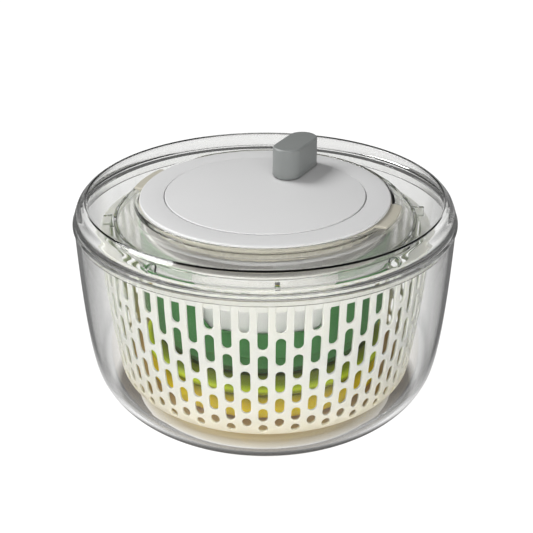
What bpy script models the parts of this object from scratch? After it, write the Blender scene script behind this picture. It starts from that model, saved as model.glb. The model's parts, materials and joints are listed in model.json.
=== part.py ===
"""Salad spinner with a crank dial, a geared lid, a slotted basket and nested prep inserts.

The frame: +Z is up and is the axis that everything spins about, the origin is on the
surface that the bowl stands on, and -Y is the front. Dimensions are in millimetres and
are turned into metres where a mesh is made.
"""

from math import cos, pi, radians, sin

import bmesh
import bpy
from mathutils import Vector

MM = 0.001
GAP = 0.3                   # running and seating clearance between separate pieces
SHELL_STEPS = 40            # flats round the large turned shells
SMALL_STEPS = 14            # flats round pins, screws and bushes

# Bowl
BOWL_RIM_R = 133.9
BOWL_RIM_Z = 138.3
BOWL_WALL = 2.6
BOWL_CORNER_R = 42.5        # radius of the rounded corner between base and wall
BOWL_BASE_R = 86.0          # outer edge of the flat ring it stands on
BOWL_FOOT_IN_R = 80.0
BOWL_FOOT_H = 2.0
SPINDLE_R = 2.5
SPINDLE_TOP_Z = 17.5

# Basket
COLUMNS = 64                # columns of drain slots
SLOT_W = 6.4
FLOOR_SLOTS = 12
BASKET_TOP_Z = 131.0
BASKET_TOP_R = 117.2
BASKET_FLOOR_Z = 19.6
BASKET_CORNER_R = 12.0
BASKET_WALL = 1.9
BASKET_FLANGE_IN_R = 110.5
HUB_SOCKET_R = 6.4

# Nested prep inserts
INSERT_WALL = 2.0
YELLOW_Z = (21.9, 37.5)
LIME_Z = (37.8, 53.0)
GREEN_Z = (53.3, 130.0)
GREEN_STEP_Z = 70.8
GREEN_R = 89.0
GREY_Z = (73.2, 129.2)
GREY_R = 85.9
NOTCH_HALF_W = 38.0
NOTCH_Z = 90.0

# Lid
LID_FLANGE_R = 135.0
LID_BASE_Z = 138.6
LID_PEAK_Z = 154.9            # top of the raised outer ring
LID_FLOOR_Z = 148.6         # recessed floor that the gear housing sits on
LID_FLOOR_T = 2.4
LID_FLOOR_R = 97.0            # outside this the floor rises as a shallow cone
LID_HOLE_R = 84.0
COLLAR_IN_R = 89.4
COLLAR_OUT_R = 91.6
COLLAR_TOP_Z = 152.6

# Gear housing and cover
HOUSING_IN_R = 78.5
HOUSING_OUT_R = 80.6
HOUSING_FLOOR_Z = 136.0
HOUSING_FLANGE_Z = (148.9, 150.6)
HOUSING_FLANGE_R = 88.7
LUG_R = 96.0
LUG_ANGLES = (-22.0, 158.0)
LUG_HALF_ANGLE = 13.0
COVER_TOP_Z = 153.0
COVER_R = 88.2
DIAL_R = 70.6
DIAL_Z = (150.4, 153.6)

# Gears, all straight-cut with generous backlash
RING_TEETH = 40
IDLER_TEETH = 15
SUN_TEETH = 10
RING_PITCH_R = 54.0
MODULE = 2 * RING_PITCH_R / RING_TEETH
IDLER_PITCH_R = MODULE * IDLER_TEETH / 2
SUN_PITCH_R = MODULE * SUN_TEETH / 2
IDLER_ORBIT_R = SUN_PITCH_R + IDLER_PITCH_R
IDLER_ANGLES = (0.0, 180.0)
GEAR_Z = (140.2, 146.6)
RING_GEAR_TOP_Z = 150.1
RING_GEAR_R = 63.5

# Knob
KNOB_ORBIT_R = 48.3
KNOB_ANGLE = 62.9
KNOB_LENGTH = 47.0
KNOB_WIDTH = 22.0
KNOB_Z = (154.4, 176.6)

# Drive disc under the lid
DRIVE_SHAFT_R = 4.0
DRIVE_BAND_R = (104.8, 107.2)
DRIVE_BAND_Z = (131.9, 138.2)
DRIVE_WEB_Z = (132.2, 134.0)
DRIVE_TABS = 8
DRIVE_TAB_PHASE = -86.0
TAB_W = 3.0
TAB_END_R = 114.5


def clear_scene():
    for obj in list(bpy.data.objects):
        bpy.data.objects.remove(obj)


def material(name, colour, roughness, metallic=0.0, transmission=0.0):
    mat = bpy.data.materials.new(name)
    mat.use_nodes = True
    shader = mat.node_tree.nodes["Principled BSDF"]
    shader.inputs["Base Color"].default_value = (*colour, 1.0)
    shader.inputs["Roughness"].default_value = roughness
    shader.inputs["Metallic"].default_value = metallic
    shader.inputs["Transmission Weight"].default_value = transmission
    return mat


def clear_plastic(name):
    return material(name, (0.95, 0.96, 0.96), 0.05, transmission=1.0)


def grey_plastic(name):
    return material(name, (0.62, 0.62, 0.62), 0.45)


def acetal(name):
    return material(name, (0.85, 0.85, 0.82), 0.4)


def steel(name):
    return material(name, (0.6, 0.6, 0.6), 0.3, metallic=1.0)


def add_mesh(name, verts, faces, mat, place=(0.0, 0.0), turn=0.0):
    """An object from points in mm, about a vertical axis through place (x, y) in mm."""
    mesh = bpy.data.meshes.new(name)
    mesh.from_pydata([Vector(v) * MM for v in verts], [], faces)
    mesh.update()
    bm = bmesh.new()
    bm.from_mesh(mesh)
    bmesh.ops.recalc_face_normals(bm, faces=bm.faces)
    bm.to_mesh(mesh)
    bm.free()
    mesh.materials.append(mat)
    mesh.shade_smooth()
    mesh.set_sharp_from_angle(angle=radians(35))
    obj = bpy.data.objects.new(name, mesh)
    obj.location = (place[0] * MM, place[1] * MM, 0.0)
    obj.rotation_euler = (0.0, 0.0, turn)
    bpy.context.scene.collection.objects.link(obj)
    return obj


def turned(name, profile, mat, steps=SHELL_STEPS, place=(0.0, 0.0)):
    """A closed (radius, height) outline turned about Z; a radius of 0 becomes one point."""
    verts = []
    rows = []
    for radius, height in profile:
        if radius == 0.0:
            rows.append([len(verts)] * steps)
            verts.append((0.0, 0.0, height))
            continue
        rows.append(list(range(len(verts), len(verts) + steps)))
        for i in range(steps):
            angle = 2 * pi * i / steps
            verts.append((radius * cos(angle), radius * sin(angle), height))
    faces = []
    for row, after in zip(rows, rows[1:] + rows[:1]):
        for i in range(steps):
            j = (i + 1) % steps
            corners = [row[i], row[j], after[j], after[i]]
            face = [v for k, v in enumerate(corners) if v not in corners[:k]]
            if len(face) > 2:
                faces.append(face)
    return add_mesh(name, verts, faces, mat, place)


def prism(name, outlines, low, high, mat, place=(0.0, 0.0), turn=0.0):
    """A flat plate: the first outline is its edge and any others are holes in it."""
    bm = bmesh.new()
    edges = []
    for outline in outlines:
        points = [bm.verts.new((x * MM, y * MM, low * MM)) for x, y in outline]
        edges += [bm.edges.new(pair) for pair in zip(points, points[1:] + points[:1])]
    filled = bmesh.ops.triangle_fill(bm, use_beauty=True, edges=edges)
    faces = [part for part in filled["geom"] if isinstance(part, bmesh.types.BMFace)]
    raised = bmesh.ops.extrude_face_region(bm, geom=faces)
    top = [part for part in raised["geom"] if isinstance(part, bmesh.types.BMVert)]
    bmesh.ops.translate(bm, verts=top, vec=(0.0, 0.0, (high - low) * MM))
    verts = [v.co / MM for v in bm.verts]
    bm.verts.index_update()
    polygons = [[v.index for v in face.verts] for face in bm.faces]
    bm.free()
    return add_mesh(name, verts, polygons, mat, place, turn)


def circle(radius, steps, centre=(0.0, 0.0)):
    angles = [2 * pi * i / steps for i in range(steps)]
    return [(centre[0] + radius * cos(a), centre[1] + radius * sin(a)) for a in angles]


def arc(centre, radius, first, last, count):
    """Points in (radius, height) along a round corner, from first to last in degrees."""
    points = []
    for i in range(count + 1):
        angle = radians(first + (last - first) * i / count)
        points.append((centre[0] + radius * cos(angle), centre[1] + radius * sin(angle)))
    return points


def bezier(start, control, end, count):
    """Points after start along a quadratic curve, end included."""
    points = []
    for i in range(1, count + 1):
        t = i / count
        weights = ((1 - t) ** 2, 2 * t * (1 - t), t * t)
        points.append(tuple(
            sum(w * p[k] for w, p in zip(weights, (start, control, end))) for k in (0, 1)
        ))
    return points


def polar(radius, degrees):
    return (radius * cos(radians(degrees)), radius * sin(radians(degrees)))


def sector(inner, outer, middle, half_angle, count=6):
    """The outline of a piece of a ring, half_angle degrees to each side of middle."""
    spread = [middle - half_angle + 2 * half_angle * i / count for i in range(count + 1)]
    return [polar(outer, a) for a in spread] + [polar(inner, a) for a in reversed(spread)]


def combine(target, tool, operation):
    """Cut tool out of target, or join it on, and leave tool out of the model."""
    tool.hide_render = True
    tool.display_type = "WIRE"
    modifier = target.modifiers.new(tool.name, "BOOLEAN")
    modifier.operation = operation
    modifier.solver = "EXACT"
    modifier.object = tool


def drill(target, name, radius, low, high, place, steps=SMALL_STEPS):
    hole = prism(name, [circle(radius, steps)], low, high, target.data.materials[0], place)
    combine(target, hole, "DIFFERENCE")


def box(name, low, high, mat, turn=0.0):
    """A block between two corners, turned about Z."""
    outline = [(low[0], low[1]), (high[0], low[1]), (high[0], high[1]), (low[0], high[1])]
    return prism(name, [outline], low[2], high[2], mat, turn=turn)


def make_bowl():
    """The clear bowl: a foot ring, a large round corner, and a wall that leans out."""
    corner = (BOWL_BASE_R, BOWL_CORNER_R)
    rim_out = (BOWL_RIM_R, BOWL_RIM_Z)
    rim_in = (BOWL_RIM_R - BOWL_WALL, BOWL_RIM_Z)
    lean = (BOWL_RIM_R - 1.5, 61.0)
    outside = arc(corner, BOWL_CORNER_R, -90, -10, 5)
    outside += bezier(outside[-1], lean, rim_out, 3)
    inside = arc(corner, BOWL_CORNER_R - BOWL_WALL, -90, -10, 4)
    inside += bezier(inside[-1], (lean[0] - BOWL_WALL, lean[1]), rim_in, 2)
    floor = BOWL_WALL
    boss = [(0.0, floor + 0.9), (SPINDLE_R + GAP, floor + 0.9), (SPINDLE_R + GAP, 6.9),
            (5.4, 6.9), (6.2, floor + BOWL_FOOT_H)]
    profile = [(0.0, BOWL_FOOT_H), (BOWL_FOOT_IN_R, BOWL_FOOT_H), (BOWL_FOOT_IN_R + 1.5, 0.0)]
    profile += outside
    profile += reversed(inside)
    profile += [(BOWL_FOOT_IN_R - 2.0, floor + BOWL_FOOT_H)]
    profile += reversed(boss)
    return turned("bowl", profile, clear_plastic("bowl_clear"))


def make_pivot():
    """The steel spindle in the bowl's centre and the bush that turns on it."""
    turned("bowl_spindle", [
        (0.0, BOWL_WALL + 1.2), (SPINDLE_R, BOWL_WALL + 1.2),
        (SPINDLE_R, SPINDLE_TOP_Z - 1.2), (SPINDLE_R - 1.2, SPINDLE_TOP_Z), (0.0, SPINDLE_TOP_Z),
    ], steel("spindle_steel"), SMALL_STEPS)
    bore = SPINDLE_R + GAP
    turned("pivot_bush", [
        (bore, 7.2), (8.8, 7.2), (8.8, 8.8), (HUB_SOCKET_R - GAP - 0.1, 8.8),
        (HUB_SOCKET_R - GAP - 0.1, 18.2), (4.6, 19.2), (0.0, 19.2), (0.0, 17.8), (bore, 17.8),
    ], acetal("pivot_bush_acetal"), SMALL_STEPS)


def basket_radius(height):
    """The basket's outer radius: it narrows slowly, and faster towards its base."""
    drop = max(0.0, (124.0 - height) / 95.0)
    return BASKET_TOP_R - 8.9 * drop ** 1.6


def slot_heights(column):
    """Lower and upper ends of the drain slots in a column, from the top down."""
    if column % 2 == 0:
        return [(94.1, 121.9), (33.0, 90.3)]
    return [(106.8, 121.9), (33.0, 103.1)]


def make_basket():
    """The basket: a wall of slotted columns on a turned floor and under a turned rim.

    Each column of slots is a strip with windows, and each bar between two columns joins
    the two strips' levels with triangles, on the outside and on the inside.
    """
    top_z = BASKET_TOP_Z - 6.0
    low_z = BASKET_FLOOR_Z + BASKET_CORNER_R
    verts = []
    faces = []

    def place(height, angle, inward):
        radius = basket_radius(height) - inward
        verts.append((radius * cos(angle), radius * sin(angle), height))
        return len(verts) - 1

    sides = {}
    for inward in (0.0, BASKET_WALL):
        for column in range(COLUMNS):
            levels = [top_z]
            for low, high in slot_heights(column):
                levels += [high, low]
            levels.append(low_z)
            for edge in (-1, 1):
                half = SLOT_W / 2 / BASKET_TOP_R
                angle = 2 * pi * column / COLUMNS + edge * half
                sides[inward, column, edge] = [place(z, angle, inward) for z in levels]

    def strip(left, right, inward, skip):
        for k in range(len(left) - 1):
            if not (skip and k % 2 == 1):
                faces.append([left[k], right[k], right[k + 1], left[k + 1]])

    def bar(left, right):
        i = j = 0
        while i < len(left) - 1 or j < len(right) - 1:
            next_left = verts[left[i + 1]][2] if i < len(left) - 1 else -1.0
            next_right = verts[right[j + 1]][2] if j < len(right) - 1 else -1.0
            if next_left >= next_right:
                faces.append([left[i], right[j], left[i + 1]])
                i += 1
            else:
                faces.append([left[i], right[j], right[j + 1]])
                j += 1

    for column in range(COLUMNS):
        after = (column + 1) % COLUMNS
        for inward in (0.0, BASKET_WALL):
            left = sides[inward, column, -1]
            right = sides[inward, column, 1]
            strip(left, right, inward, skip=True)
            bar(right, sides[inward, after, -1])
        outer = [sides[0.0, column, -1], sides[0.0, column, 1]]
        inner = [sides[BASKET_WALL, column, -1], sides[BASKET_WALL, column, 1]]
        for k in range(1, len(outer[0]) - 1, 2):
            ring_out = [outer[0][k], outer[1][k], outer[1][k + 1], outer[0][k + 1]]
            ring_in = [inner[0][k], inner[1][k], inner[1][k + 1], inner[0][k + 1]]
            for m in range(4):
                n = (m + 1) % 4
                faces.append([ring_out[m], ring_out[n], ring_in[n], ring_in[m]])

    def ring(profile_point):
        radius, height = profile_point
        row = []
        for column in range(COLUMNS):
            for edge in (-1, 1):
                angle = 2 * pi * column / COLUMNS + edge * SLOT_W / 2 / BASKET_TOP_R
                verts.append((radius * cos(angle), radius * sin(angle), height))
                row.append(len(verts) - 1)
        return row

    def wall_row(inward, end):
        row = []
        for column in range(COLUMNS):
            row += [sides[inward, column, -1][end], sides[inward, column, 1][end]]
        return row

    def loft(first, second):
        count = len(first)
        for k in range(count):
            n = (k + 1) % count
            faces.append([first[k], first[n], second[n], second[k]])

    def coarse_ring(radius, height):
        start = len(verts)
        for column in range(COLUMNS // 2):
            angle = 4 * pi * column / COLUMNS
            verts.append((radius * cos(angle), radius * sin(angle), height))
        return list(range(start, start + COLUMNS // 2))

    def narrow(fine, coarse):
        ratio = len(fine) // len(coarse)
        for k, point in enumerate(coarse):
            follow = coarse[(k + 1) % len(coarse)]
            for m in range(ratio):
                here = fine[(k * ratio + m) % len(fine)]
                there = fine[(k * ratio + m + 1) % len(fine)]
                faces.append([point, here, there])
            faces.append([point, fine[(k * ratio + ratio) % len(fine)], follow])

    rim_out = ring((BASKET_TOP_R + 0.2, BASKET_TOP_Z))
    rim_in = coarse_ring(BASKET_FLANGE_IN_R, BASKET_TOP_Z)
    rim_under = coarse_ring(BASKET_FLANGE_IN_R, BASKET_TOP_Z - 1.8)
    loft(wall_row(0.0, 0), rim_out)
    narrow(rim_out, rim_in)
    loft(rim_in, rim_under)
    narrow(wall_row(BASKET_WALL, 0), rim_under)

    corner_r = basket_radius(low_z) - BASKET_CORNER_R
    mid_out = coarse_ring(corner_r + 0.707 * BASKET_CORNER_R, low_z - 0.707 * BASKET_CORNER_R)
    floor_out = coarse_ring(corner_r, BASKET_FLOOR_Z)
    hub_top = coarse_ring(HUB_SOCKET_R + 2.2, BASKET_FLOOR_Z)
    hub_low = coarse_ring(HUB_SOCKET_R + 2.2, 9.2)
    socket_low = coarse_ring(HUB_SOCKET_R, 9.2)
    socket_top = coarse_ring(HUB_SOCKET_R, BASKET_FLOOR_Z)
    narrow(wall_row(0.0, -1), mid_out)
    for first, second in zip((mid_out, floor_out, hub_top, hub_low, socket_low),
                             (floor_out, hub_top, hub_low, socket_low, socket_top)):
        loft(first, second)
    verts.append((0.0, 0.0, BASKET_FLOOR_Z))
    for k in range(len(socket_top)):
        faces.append([socket_top[k], socket_top[(k + 1) % len(socket_top)], len(verts) - 1])
    reach = 0.707 * (BASKET_CORNER_R - BASKET_WALL)
    mid_in = coarse_ring(corner_r + reach, low_z - reach)
    floor_in = coarse_ring(corner_r, BASKET_FLOOR_Z + BASKET_WALL)
    narrow(wall_row(BASKET_WALL, -1), mid_in)
    loft(mid_in, floor_in)
    verts.append((0.0, 0.0, BASKET_FLOOR_Z + BASKET_WALL))
    for k in range(len(floor_in)):
        faces.append([floor_in[k], floor_in[(k + 1) % len(floor_in)], len(verts) - 1])

    basket = add_mesh("basket", verts, faces, material("basket_white", (0.9, 0.9, 0.88), 0.35))
    for k in range(FLOOR_SLOTS):
        slot = box(f"basket_floor_slot_cutter_{k + 1}", (34.0, -SLOT_W / 2, BASKET_FLOOR_Z - 1.0),
                   (82.0, SLOT_W / 2, BASKET_FLOOR_Z + 3.0), basket.data.materials[0],
                   2 * pi * (k + 0.5) / FLOOR_SLOTS)
        combine(basket, slot, "DIFFERENCE")
    for k in range(DRIVE_TABS):
        low = (BASKET_FLANGE_IN_R - 1.0, -TAB_W / 2 - 0.7, BASKET_TOP_Z - 3.0)
        high = (TAB_END_R + 0.5, TAB_W / 2 + 0.7, BASKET_TOP_Z + 1.0)
        turn = radians(DRIVE_TAB_PHASE + 360 / DRIVE_TABS * k)
        notch = box(f"basket_notch_cutter_{k + 1}", low, high, basket.data.materials[0], turn)
        combine(basket, notch, "DIFFERENCE")
    return basket


def make_tray(name, heights, base_r, rim_r, mat):
    low, high = heights
    turned(name, [
        (0.0, low), (base_r - 4.0, low), (base_r, low + 4.0), (rim_r, high),
        (rim_r - INSERT_WALL, high), (base_r - INSERT_WALL, low + 4.6),
        (base_r - 5.0, low + INSERT_WALL), (0.0, low + INSERT_WALL),
    ], mat, 40)


def make_inserts():
    """The nested set in the basket: two trays, a stepped bowl with a notch, and a cup."""
    make_tray("yellow_tray", YELLOW_Z, 86.0, 88.5, material("yellow_plastic", (0.8, 0.65, 0.05), 0.3))
    make_tray("lime_tray", LIME_Z, 87.0, 89.5, material("lime_plastic", (0.42, 0.55, 0.06), 0.3))
    low, high = GREEN_Z
    step = GREEN_STEP_Z
    foot_r = 80.0
    green = turned("green_bowl", [
        (0.0, low), (foot_r - 3.0, low), (foot_r, low + 3.0), (foot_r, step - 1.0),
        (GREEN_R - 1.2, step), (GREEN_R, step + 1.2), (GREEN_R + 0.7, high),
        (GREEN_R + 0.7 - INSERT_WALL, high), (GREEN_R - INSERT_WALL, step + INSERT_WALL),
        (foot_r - INSERT_WALL, step + INSERT_WALL - 1.0), (foot_r - INSERT_WALL, low + 3.8),
        (foot_r - 3.8, low + INSERT_WALL), (0.0, low + INSERT_WALL),
    ], material("green_plastic", (0.08, 0.25, 0.08), 0.3))
    notch = box("green_notch_cutter", (-NOTCH_HALF_W - 1.0, -GREEN_R - 8.0, NOTCH_Z),
                (NOTCH_HALF_W - 1.0, -60.0, high + 5.0), green.data.materials[0])
    combine(green, notch, "DIFFERENCE")
    low, high = GREY_Z
    turned("grey_cup", [
        (0.0, low), (GREY_R - 5.0, low), (GREY_R - 0.6, low + 4.4), (GREY_R, high),
        (GREY_R - INSERT_WALL, high), (GREY_R - 0.6 - INSERT_WALL, low + 5.2),
        (GREY_R - 5.8, low + INSERT_WALL), (0.0, low + INSERT_WALL),
    ], material("light_grey_plastic", (0.6, 0.6, 0.6), 0.35))


def make_lid():
    """The clear lid: a raised outer ring, a shallow cone inside it, and a collar."""
    floor_low = LID_FLOOR_Z - LID_FLOOR_T
    seat_r = BOWL_RIM_R - BOWL_WALL - 0.4
    crest = [(132.9, 145.3), (130.8, 150.2), (128.0, 153.4), (125.0, LID_PEAK_Z),
             (121.8, 154.1)]
    under_crest = [(121.8, 151.6), (125.0, LID_PEAK_Z - 2.5), (127.2, 150.8),
                   (129.3, 147.6), (130.4, 144.6)]
    lid = turned("lid_shell", [
        (seat_r, LID_BASE_Z), (LID_FLANGE_R, LID_BASE_Z), (LID_FLANGE_R, LID_BASE_Z + 1.4),
        (133.5, 141.6), *crest, (LID_FLOOR_R, LID_FLOOR_Z),
        (COLLAR_OUT_R, LID_FLOOR_Z), (COLLAR_OUT_R, COLLAR_TOP_Z),
        (COLLAR_IN_R, COLLAR_TOP_Z), (COLLAR_IN_R, LID_FLOOR_Z),
        (LID_HOLE_R, LID_FLOOR_Z), (LID_HOLE_R, floor_low), (LID_FLOOR_R, floor_low),
        *under_crest, (128.9, 140.6), (128.9, 133.4), (seat_r, 133.4),
    ], clear_plastic("lid_clear"))
    for k, angle in enumerate(LUG_ANGLES):
        outline = sector(COLLAR_IN_R - 0.6, COLLAR_OUT_R + 0.6, angle, LUG_HALF_ANGLE + 0.8)
        cutter = prism(f"collar_gap_cutter_{k + 1}", [outline], LID_FLOOR_Z - 0.15,
                       COLLAR_TOP_Z + 2.0, lid.data.materials[0])
        combine(lid, cutter, "DIFFERENCE")
    return lid


def fixing_places(radius, first=30.0, count=3):
    return [polar(radius, first + 360 / count * k) for k in range(count)]


def lugged_outline():
    """The housing flange's outline: a circle with a lug standing out at each lug angle."""
    def off_lugs(angle):
        return all(abs((angle - lug + 180) % 360 - 180) > LUG_HALF_ANGLE for lug in LUG_ANGLES)

    step = 360 / SHELL_STEPS
    points = [(k * step, HOUSING_FLANGE_R) for k in range(SHELL_STEPS) if off_lugs(k * step)]
    for lug in LUG_ANGLES:
        spread = [lug + LUG_HALF_ANGLE * k / 2 for k in (-2, -1, 0, 1, 2)]
        points += [(spread[0] - 0.01, HOUSING_FLANGE_R), (spread[-1] + 0.01, HOUSING_FLANGE_R)]
        points += [(angle, LUG_R) for angle in spread]
    points.sort(key=lambda point: point[0] % 360)
    return [polar(radius, angle) for angle, radius in points]


def make_housing():
    """The gear housing: a pan whose flange and two lugs sit on the lid's floor."""
    mat = material("housing_smoke", (0.5, 0.48, 0.42), 0.25, transmission=0.5)
    pan = turned("gear_housing", [
        (6.4, HOUSING_FLOOR_Z), (HOUSING_OUT_R, HOUSING_FLOOR_Z),
        (HOUSING_OUT_R, HOUSING_FLANGE_Z[1] - 0.4), (HOUSING_IN_R, HOUSING_FLANGE_Z[1] - 0.4),
        (HOUSING_IN_R, HOUSING_FLOOR_Z + 2.0), (6.4, HOUSING_FLOOR_Z + 2.0),
    ], mat)
    flange = prism("housing_flange_tool",
                   [lugged_outline(), circle(HOUSING_IN_R + 1.0, SHELL_STEPS)],
                   *HOUSING_FLANGE_Z, mat)
    combine(pan, flange, "UNION")
    for k, angle in enumerate(IDLER_ANGLES):
        post = prism(f"idler_post_tool_{k + 1}", [circle(5.0, SMALL_STEPS)],
                     HOUSING_FLOOR_Z + 1.0, GEAR_Z[0] - GAP, mat, polar(IDLER_ORBIT_R, angle))
        combine(pan, post, "UNION")
        drill(pan, f"idler_pin_drill_{k + 1}", 2.3, HOUSING_FLOOR_Z + 0.9, GEAR_Z[0] + 1.0,
              polar(IDLER_ORBIT_R, angle))
    for k, place in enumerate(fixing_places(74.5)):
        drill(pan, f"housing_screw_drill_{k + 1}", 1.6, HOUSING_FLOOR_Z - 1.0,
              HOUSING_FLOOR_Z + 3.0, place)
    return pan


def make_cover():
    """The fixed grey ring round the dial, with a lip that carries the slide ring."""
    seam_r = DIAL_R + 0.6
    cover = turned("cover_ring", [
        (COVER_R, HOUSING_FLANGE_Z[1] + GAP), (COVER_R, COVER_TOP_Z - 0.7),
        (COVER_R - 0.7, COVER_TOP_Z), (seam_r, COVER_TOP_Z), (seam_r, 148.7),
        (66.5, 148.7), (66.5, 147.2), (77.6, 147.2), (77.6, HOUSING_FLANGE_Z[1] + GAP),
    ], grey_plastic("cover_grey"))
    for k, place in enumerate(fixing_places(74.5)):
        low = HOUSING_FLOOR_Z + 2.0 + GAP
        boss = prism(f"cover_boss_tool_{k + 1}", [circle(2.9, SMALL_STEPS)], low, 148.0,
                     cover.data.materials[0], place)
        combine(cover, boss, "UNION")
        drill(cover, f"cover_boss_drill_{k + 1}", 1.5, low - 1.0, 146.5, place, 10)
        screw(f"housing_screw_{k + 1}", place, 1.2, 2.6, HOUSING_FLOOR_Z - GAP, 146.0)
    turned("dial_slide_ring", [
        (67.2, 149.0), (70.4, 149.0), (70.4, DIAL_Z[0] - GAP), (67.2, DIAL_Z[0] - GAP),
    ], acetal("slide_ring_acetal"))


def screw(name, place, shank_r, head_r, seat, tip):
    """A screw driven upwards: its head lies under seat, and its shank ends at tip."""
    head_h = 1.1
    turned(name, [
        (0.0, seat - head_h), (head_r - 0.5, seat - head_h), (head_r, seat - head_h + 0.4),
        (head_r, seat), (shank_r, seat), (shank_r, tip - 0.6), (0.0, tip),
    ], steel(f"{name}_steel"), 12, place)


def gear_outline(teeth, pitch_r, phase, inward=False):
    """Straight-sided teeth, one of them centred on phase; a ring gear's point inward."""
    sign = -1 if inward else 1
    tip_r = pitch_r + sign * 0.72 * MODULE
    root_r = pitch_r - sign * 0.95 * MODULE
    pitch = 2 * pi / teeth
    points = []
    for k in range(teeth):
        middle = phase + k * pitch
        for radius, share in ((root_r, -0.31), (tip_r, -0.11), (tip_r, 0.11), (root_r, 0.31)):
            angle = middle + share * pitch
            points.append((radius * cos(angle), radius * sin(angle)))
    return points


def make_gears():
    """The train: a ring gear under the dial, two idlers on fixed pins, and the sun."""
    sun_phase = 0.0
    idler_phases = []
    for k, degrees in enumerate(IDLER_ANGLES):
        angle = radians(degrees)
        phase = angle + pi - (pi - SUN_TEETH * (angle - sun_phase)) / IDLER_TEETH
        idler_phases.append(phase)
        outline = gear_outline(IDLER_TEETH, IDLER_PITCH_R, phase)
        place = polar(IDLER_ORBIT_R, degrees)
        prism(f"idler_gear_{k + 1}", [outline, circle(2.3, 12)], *GEAR_Z,
              acetal(f"idler_{k + 1}_acetal"), place)
        turned(f"idler_pin_{k + 1}", [
            (0.0, HOUSING_FLOOR_Z + 1.2), (2.0, HOUSING_FLOOR_Z + 1.2), (2.0, GEAR_Z[1] + 0.2),
            (1.5, GEAR_Z[1] + 0.7), (0.0, GEAR_Z[1] + 0.7),
        ], steel(f"idler_pin_{k + 1}_steel"), 12, place)
    first = radians(IDLER_ANGLES[0])
    ring_phase = first - (pi + IDLER_TEETH * (first - idler_phases[0])) / RING_TEETH
    ring = prism("ring_gear", [
        circle(RING_GEAR_R, 40), gear_outline(RING_TEETH, RING_PITCH_R, ring_phase, True),
    ], GEAR_Z[0], RING_GEAR_TOP_Z, acetal("ring_gear_acetal"))
    for k, place in enumerate(fixing_places(60.0, 90.0)):
        drill(ring, f"ring_gear_drill_{k + 1}", 1.4, GEAR_Z[0] - 1.0, RING_GEAR_TOP_Z + 1.0,
              place, 10)
        screw(f"ring_gear_screw_{k + 1}", place, 1.1, 2.4, GEAR_Z[0] - GAP, DIAL_Z[0] + 1.9)
    prism("sun_gear", [
        gear_outline(SUN_TEETH, SUN_PITCH_R, sun_phase), circle(DRIVE_SHAFT_R + GAP, 12),
    ], *GEAR_Z, acetal("sun_gear_acetal"))


def make_dial():
    """The crank dial that turns in the cover ring, flush with it."""
    low, high = DIAL_Z
    dial = turned("dial", [
        (0.0, low), (DIAL_R, low), (DIAL_R, high - 0.6), (DIAL_R - 0.6, high), (0.0, high),
    ], grey_plastic("dial_grey"))
    for k, place in enumerate(fixing_places(60.0, 90.0)):
        drill(dial, f"dial_screw_drill_{k + 1}", 1.4, low - 1.0, low + 2.2, place, 10)
    drill(dial, "dial_pin_drill", 2.7, low - 1.0, high + 1.0, polar(KNOB_ORBIT_R, KNOB_ANGLE))


def stadium(length, width, steps=8):
    """An outline with straight sides along X and half-round ends."""
    radius = width / 2
    half = length / 2 - radius
    points = []
    for side in (1, -1):
        for i in range(steps + 1):
            angle = -pi / 2 + pi * i / steps
            points.append((side * (half + radius * cos(angle)), side * radius * sin(angle)))
    return points


def make_knob():
    """The grip: a long round-ended knob that spins on a steel pin fixed in the dial."""
    place = polar(KNOB_ORBIT_R, KNOB_ANGLE)
    low, high = KNOB_Z
    layers = [(low, -0.3), (low + 0.6, 0.0), (high - 1.5, -0.3), (high - 0.4, -0.8), (high, -1.9)]
    outlines = [stadium(KNOB_LENGTH + 2 * grow, KNOB_WIDTH + 2 * grow) for _, grow in layers]
    verts = []
    for (height, _), outline in zip(layers, outlines):
        verts += [(x, y, height) for x, y in outline]
    count = len(outlines[0])
    faces = [list(range(count))[::-1], list(range(len(verts) - count, len(verts)))]
    for layer in range(len(layers) - 1):
        for i in range(count):
            j = (i + 1) % count
            base = layer * count
            faces.append([base + i, base + j, base + count + j, base + count + i])
    knob = add_mesh("knob", verts, faces, material("knob_grey", (0.33, 0.35, 0.35), 0.4),
                    place, radians(KNOB_ANGLE))
    drill(knob, "knob_bore_drill", 5.0, low - 1.0, 172.0, place)
    turned("knob_bush", [
        (2.7, low + 0.4), (4.7, low + 0.4), (4.7, 171.4), (2.7, 171.4),
    ], acetal("knob_bush_acetal"), SMALL_STEPS, place)
    seat = DIAL_Z[0] - GAP
    turned("knob_pin", [
        (0.0, seat - 1.9), (3.4, seat - 1.9), (3.4, seat), (2.4, seat), (2.4, 170.2),
        (1.9, 170.8), (0.0, 170.8),
    ], steel("knob_pin_steel"), SMALL_STEPS, place)


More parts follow.
